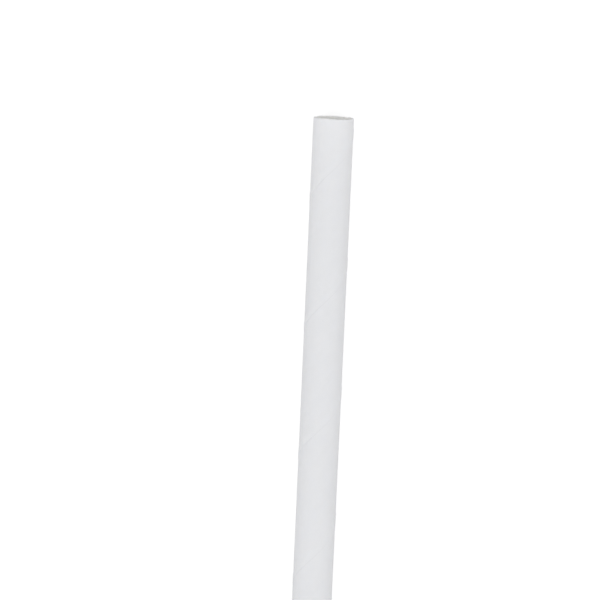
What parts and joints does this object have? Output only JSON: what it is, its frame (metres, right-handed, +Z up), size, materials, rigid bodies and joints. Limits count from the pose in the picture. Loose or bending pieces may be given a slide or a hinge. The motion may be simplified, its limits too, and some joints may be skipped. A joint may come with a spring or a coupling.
{
  "type": "paper drinking straw",
  "caption": "Straight spiral-wound paper tube for drinking, open at both ends, lying on its side.",
  "frame": {"origin": "on the surface that the straw lies on, under the middle of its length", "axes": "+Y along the straw, from its lower end to its drinking end; +Z up; +X across it"},
  "size_m": [0.0082, 0.197, 0.0081],
  "materials": {
    "white_paper": "matte"
  },
  "bodies": {
    "root": {"straw_tube": "white_paper"}
  },
  "joints": []
}
